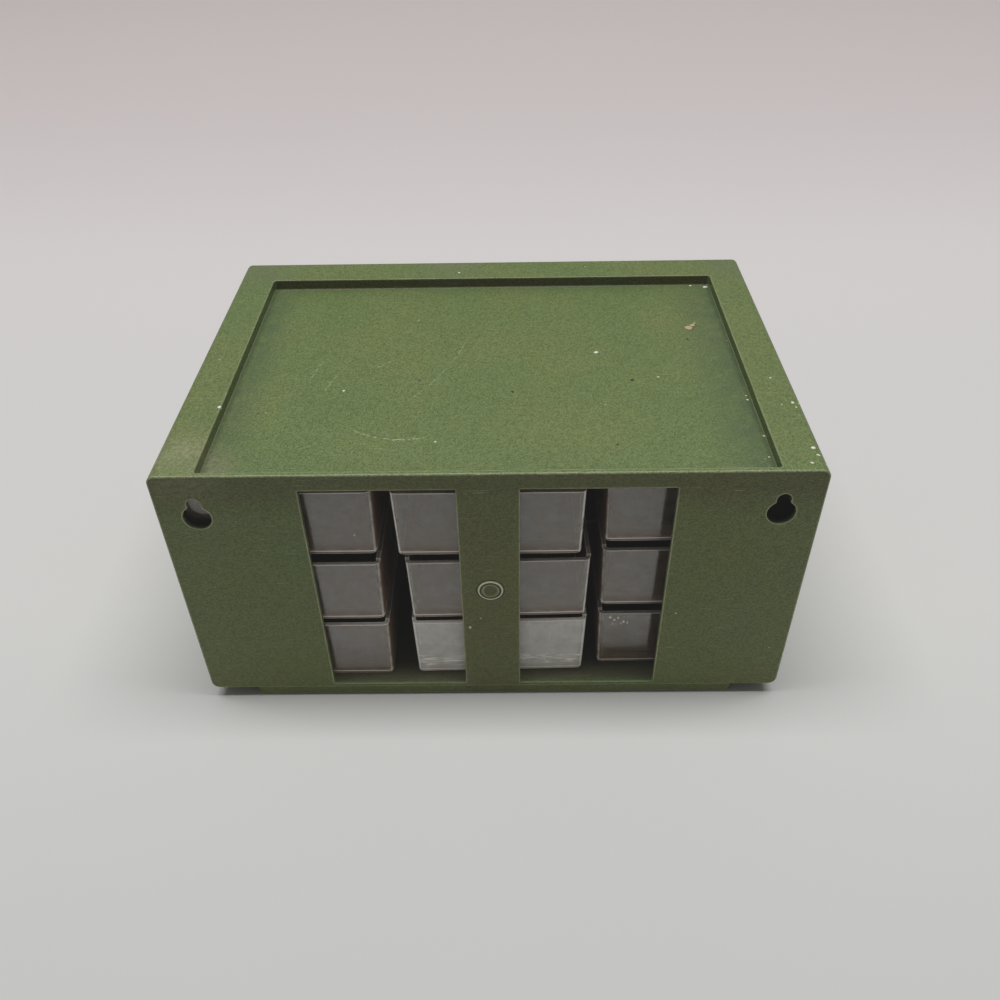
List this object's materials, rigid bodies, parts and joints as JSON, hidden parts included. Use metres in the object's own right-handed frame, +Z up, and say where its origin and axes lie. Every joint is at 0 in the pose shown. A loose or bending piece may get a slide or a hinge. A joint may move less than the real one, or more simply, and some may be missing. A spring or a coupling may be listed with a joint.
{
  "type": "drill bit drawer cabinet",
  "caption": "Small stackable cabinet for drill bits: a green moulded housing with windows and keyholes in its back, and clear pull-out drawers.",
  "frame": {"origin": "middle of the width and depth, on the surface that the foot stands on", "axes": "-Y out of the drawer fronts, +Z up, +X to the right as seen from the front"},
  "size_m": [0.2334, 0.1761, 0.1168],
  "materials": {
    "case_green": "leather-grained",
    "frame_green": "smooth",
    "drawer_clear": "clear polystyrene"
  },
  "bodies": {
    "case": {"case_shell": "case_green", "drawer_frame": "frame_green"},
    "top_left": {"drawer_top_left": "drawer_clear"},
    "top_middle": {"drawer_top_middle": "drawer_clear"},
    "top_right": {"drawer_top_right": "drawer_clear"},
    "middle_left": {"drawer_middle_left": "drawer_clear"},
    "middle_middle": {"drawer_middle_middle": "drawer_clear"},
    "middle_right": {"drawer_middle_right": "drawer_clear"},
    "bottom_left": {"drawer_bottom_left": "drawer_clear"},
    "bottom_middle": {"drawer_bottom_middle": "drawer_clear"},
    "bottom_right": {"drawer_bottom_right": "drawer_clear"}
  },
  "joints": [
    {"name": "top_left_slide", "type": "slide", "parent": "case", "child": "top_left", "axis": [0.0085, -1, 0], "range_m": [-0.00681, 0.14341]},
    {"name": "top_middle_slide", "type": "slide", "parent": "case", "child": "top_middle", "axis": [0, -1, 0], "range_m": [-0.0004, 0.1504]},
    {"name": "top_right_slide", "type": "slide", "parent": "case", "child": "top_right", "axis": [0, -1, 0], "range_m": [-0.0012, 0.1496]},
    {"name": "middle_left_slide", "type": "slide", "parent": "case", "child": "middle_left", "axis": [0.0085, -1, 0], "range_m": [-0.00651, 0.14371]},
    {"name": "middle_middle_slide", "type": "slide", "parent": "case", "child": "middle_middle", "axis": [0.017, -0.9999, 0], "range_m": [-0.00031, 0.14931]},
    {"name": "middle_right_slide", "type": "slide", "parent": "case", "child": "middle_right", "axis": [0, -1, 0], "range_m": [0, 0.1508]},
    {"name": "bottom_left_slide", "type": "slide", "parent": "case", "child": "bottom_left", "axis": [0.0102, -0.9999, 0], "range_m": [-0.00575, 0.14435]},
    {"name": "bottom_middle_slide", "type": "slide", "parent": "case", "child": "bottom_middle", "axis": [0.017, -0.9999, 0], "range_m": [-0.00131, 0.14831]},
    {"name": "bottom_right_slide", "type": "slide", "parent": "case", "child": "bottom_right", "axis": [0.0017, -1, 0], "range_m": [-0.00064, 0.15004]}
  ]
}
